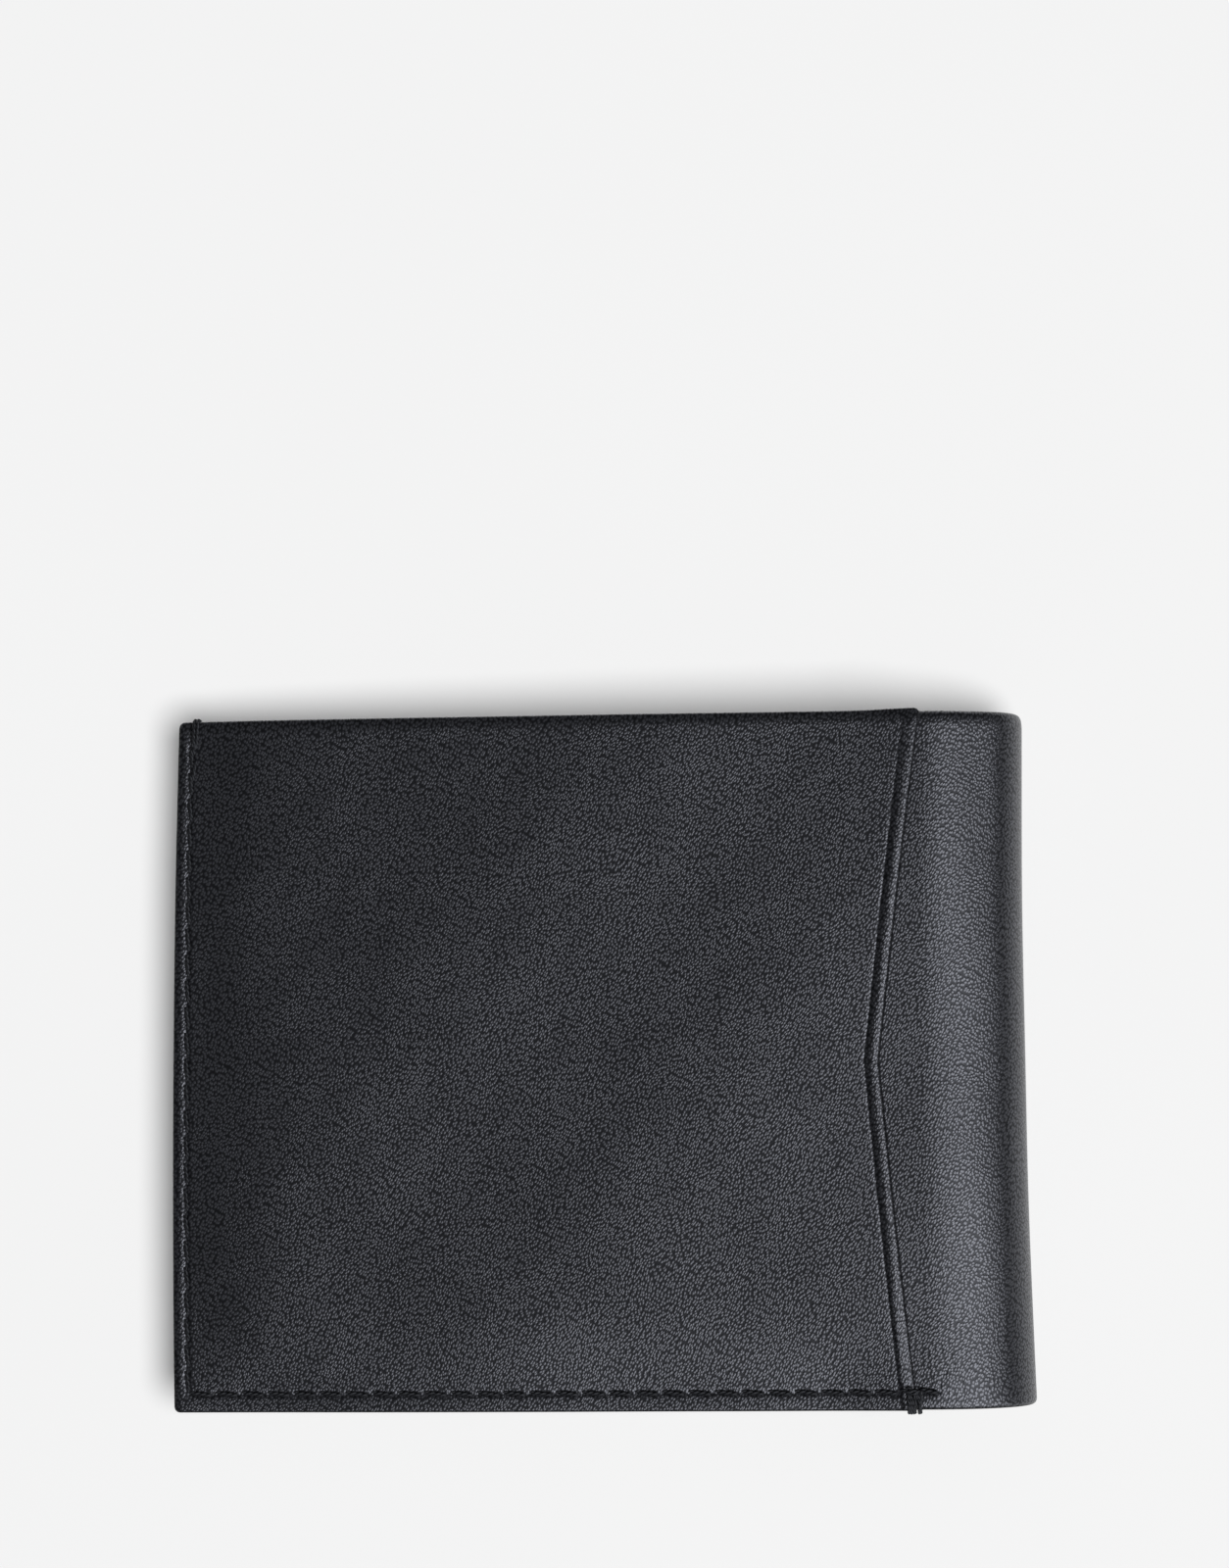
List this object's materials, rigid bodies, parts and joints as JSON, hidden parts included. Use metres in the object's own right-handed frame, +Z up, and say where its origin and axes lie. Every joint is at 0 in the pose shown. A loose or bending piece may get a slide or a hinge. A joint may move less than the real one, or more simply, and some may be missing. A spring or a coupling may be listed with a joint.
{
  "type": "bifold wallet",
  "caption": "Closed leather bifold wallet with a soft rolled spine, an outer slip pocket with an angled mouth, card pockets and a full-length bill compartment.",
  "frame": {"origin": "on the plane that the closed wallet lies on, under the middle of its bounding box", "axes": "+X towards the spine, +Y towards the bill compartment's mouth, +Z up out of the back half; the front half lies on the plane"},
  "size_m": [0.115, 0.0938, 0.0228],
  "materials": {
    "black_leather": "pebbled, semi-gloss",
    "pocket_leather": "fine-grained, satin",
    "lining_fabric": "fine twill, matt",
    "stiffener_board": "plain board",
    "edge_binding": "folded grosgrain tape, satin",
    "black_thread": "waxed polyester, satin"
  },
  "bodies": {
    "front_half": {"front_cover": "black_leather", "front_stiffener": "stiffener_board", "front_bill_lining": "lining_fabric", "front_divider": "lining_fabric", "front_divider_binding": "edge_binding", "front_slot_base": "pocket_leather", "front_card_slot_1": "pocket_leather", "front_card_slot_2": "pocket_leather", "front_card_slot_3": "pocket_leather", "front_slip_pocket": "pocket_leather", "front_side_thread": "black_thread", "front_bottom_thread": "black_thread", "front_pocket_thread": "black_thread"},
    "spine_slat_1": {"spine_leather_1": "black_leather", "spine_lining_1": "lining_fabric", "spine_divider_1": "lining_fabric"},
    "spine_slat_2": {"spine_leather_2": "black_leather", "spine_lining_2": "lining_fabric", "spine_divider_2": "lining_fabric"},
    "spine_slat_3": {"spine_leather_3": "black_leather", "spine_lining_3": "lining_fabric", "spine_divider_3": "lining_fabric"},
    "spine_slat_4": {"spine_leather_4": "black_leather", "spine_lining_4": "lining_fabric", "spine_divider_4": "lining_fabric"},
    "spine_slat_5": {"spine_leather_5": "black_leather", "spine_lining_5": "lining_fabric", "spine_divider_5": "lining_fabric"},
    "back_half": {"back_cover": "black_leather", "back_stiffener": "stiffener_board", "back_bill_lining": "lining_fabric", "back_divider": "lining_fabric", "back_divider_binding": "edge_binding", "back_slot_base": "pocket_leather", "back_card_slot_1": "pocket_leather", "back_card_slot_2": "pocket_leather", "back_card_slot_3": "pocket_leather", "back_slip_pocket": "pocket_leather", "back_side_thread": "black_thread", "back_bottom_thread": "black_thread", "back_pocket_thread": "black_thread", "outer_pocket": "black_leather", "pocket_tack": "black_thread"}
  },
  "joints": [
    {"name": "wallet_fold", "type": "hinge", "parent": "front_half", "child": "spine_slat_1", "pos_m": [0.04816, 0, 0.00107], "axis": [0, 1, 0], "range_deg": [0, 30.75]},
    {"name": "spine_bend_2", "type": "hinge", "parent": "spine_slat_1", "child": "spine_slat_2", "pos_m": [0.05469, 0, 0.00464], "axis": [0, 1, 0], "range_deg": [0, 30.75]},
    {"name": "spine_bend_3", "type": "hinge", "parent": "spine_slat_2", "child": "spine_slat_3", "pos_m": [0.05681, 0, 0.00855], "axis": [0, 1, 0], "range_deg": [0, 30.75]},
    {"name": "spine_bend_4", "type": "hinge", "parent": "spine_slat_3", "child": "spine_slat_4", "pos_m": [0.05664, 0, 0.013], "axis": [0, 1, 0], "range_deg": [0, 30.75]},
    {"name": "spine_bend_5", "type": "hinge", "parent": "spine_slat_4", "child": "spine_slat_5", "pos_m": [0.05421, 0, 0.01674], "axis": [0, 1, 0], "range_deg": [0, 30.75]},
    {"name": "spine_bend_6", "type": "hinge", "parent": "spine_slat_5", "child": "back_half", "pos_m": [0.04743, 0, 0.01979], "axis": [0, 1, 0], "range_deg": [0, 30.75]}
  ],
  "couplings": [
    {"joint": "spine_bend_2", "follows": "wallet_fold", "ratio": 1},
    {"joint": "spine_bend_3", "follows": "wallet_fold", "ratio": 1},
    {"joint": "spine_bend_4", "follows": "wallet_fold", "ratio": 1},
    {"joint": "spine_bend_5", "follows": "wallet_fold", "ratio": 1},
    {"joint": "spine_bend_6", "follows": "wallet_fold", "ratio": 1}
  ]
}
